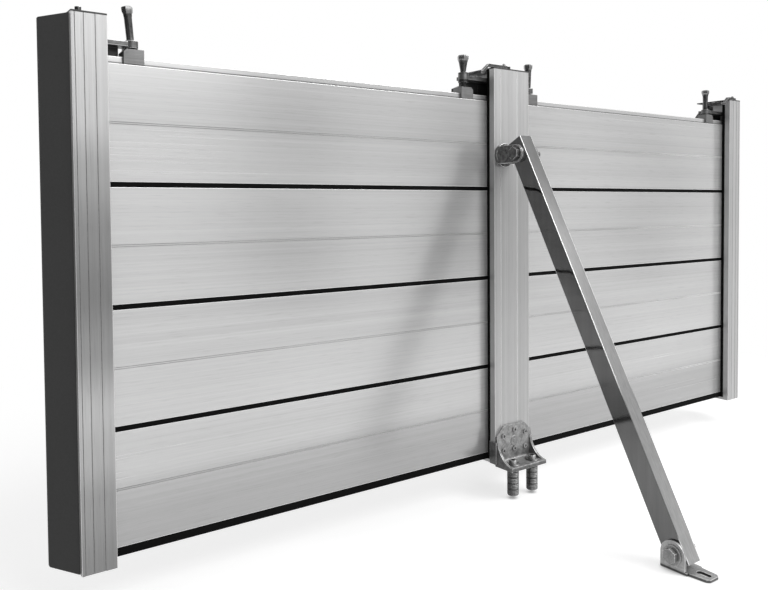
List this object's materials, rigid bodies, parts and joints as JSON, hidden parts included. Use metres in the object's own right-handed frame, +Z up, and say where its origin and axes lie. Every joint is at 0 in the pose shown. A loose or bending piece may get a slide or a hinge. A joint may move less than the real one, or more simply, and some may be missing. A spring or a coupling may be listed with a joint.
{
  "type": "demountable flood barrier",
  "caption": "Demountable flood barrier in bays: hollow aluminium planks with rubber seals between grooved posts, top screw clamps and a hinged rear brace.",
  "frame": {"origin": "underside of the foot bracket's shelf, midway between its two floor anchors", "axes": "+X along the barrier to the right as seen from the brace side, +Y through the barrier away from the brace, +Z up"},
  "size_m": [1.952, 0.633, 0.982],
  "materials": {
    "post_aluminium": "satin extruded, fine vertical lines",
    "plank_aluminium": "satin extruded, fine horizontal lines",
    "black_rubber": "matte black EPDM",
    "wall_rubber": "matte dark grey sheet",
    "dark_cast": "dark cast and machined iron, worn edges",
    "cap_paint": "dark painted plate",
    "block_steel": "milled grey steel",
    "zinc_steel": "zinc plated cast steel",
    "stainless": "brushed stainless"
  },
  "bodies": {
    "barrier": {"left_post": "post_aluminium", "left_post_cap": "cap_paint", "left_wall_seal": "wall_rubber", "left_channel_seals": "black_rubber", "middle_post": "post_aluminium", "middle_post_cap": "cap_paint", "middle_channel_seals": "black_rubber", "right_post": "post_aluminium", "right_post_cap": "cap_paint", "right_wall_seal": "wall_rubber", "right_channel_seals": "black_rubber", "left_plank_1": "plank_aluminium", "left_plank_2": "plank_aluminium", "left_plank_3": "plank_aluminium", "left_plank_4": "plank_aluminium", "right_plank_1": "plank_aluminium", "right_plank_2": "plank_aluminium", "right_plank_3": "plank_aluminium", "right_plank_4": "plank_aluminium", "left_plank_seals": "black_rubber", "right_plank_seals": "black_rubber", "left_bottom_seal": "black_rubber", "right_bottom_seal": "black_rubber", "left_clamp_arm": "dark_cast", "mid_left_clamp_arm": "dark_cast", "mid_right_clamp_arm": "dark_cast", "right_clamp_arm": "dark_cast", "left_pressing_block": "block_steel", "mid_left_pressing_block": "block_steel", "mid_right_pressing_block": "block_steel", "right_pressing_block": "block_steel", "cap_screws": "zinc_steel", "foot_bracket": "zinc_steel", "foot_bracket_screws": "zinc_steel", "floor_anchors": "zinc_steel", "brace_bracket": "dark_cast", "brace_upper_pin": "dark_cast"},
    "brace": {"brace_tube": "stainless"},
    "brace_foot_body": {"brace_foot": "zinc_steel", "brace_foot_pin": "zinc_steel"},
    "left_screw": {"left_hand_screw": "dark_cast"},
    "mid_left_screw": {"mid_left_hand_screw": "dark_cast"},
    "mid_right_screw": {"mid_right_hand_screw": "dark_cast"},
    "right_screw": {"right_hand_screw": "dark_cast"}
  },
  "joints": [
    {"name": "brace_swing", "type": "hinge", "parent": "barrier", "child": "brace", "pos_m": [-0.028, -0.0335, 0.696], "axis": [1, 0, 0], "range_deg": [-150, 0]},
    {"name": "foot_tilt", "type": "hinge", "parent": "brace", "child": "brace_foot_body", "pos_m": [-0.028, -0.41447, -0.03802], "axis": [1, 0, 0], "range_deg": [-8, 25]},
    {"name": "left_screw_turn", "type": "hinge", "parent": "barrier", "child": "left_screw", "pos_m": [-0.839, 0.0695, 0.844], "axis": [-0.0872, 0, 0.9962], "continuous": true},
    {"name": "mid_left_screw_turn", "type": "hinge", "parent": "barrier", "child": "mid_left_screw", "pos_m": [-0.111, 0.0695, 0.844], "axis": [0, 0, 1], "continuous": true},
    {"name": "mid_right_screw_turn", "type": "hinge", "parent": "barrier", "child": "mid_right_screw", "pos_m": [0.092, 0.0695, 0.844], "axis": [0, 0, 1], "continuous": true},
    {"name": "right_screw_turn", "type": "hinge", "parent": "barrier", "child": "right_screw", "pos_m": [0.824, 0.0695, 0.844], "axis": [0, 0, 1], "continuous": true}
  ]
}
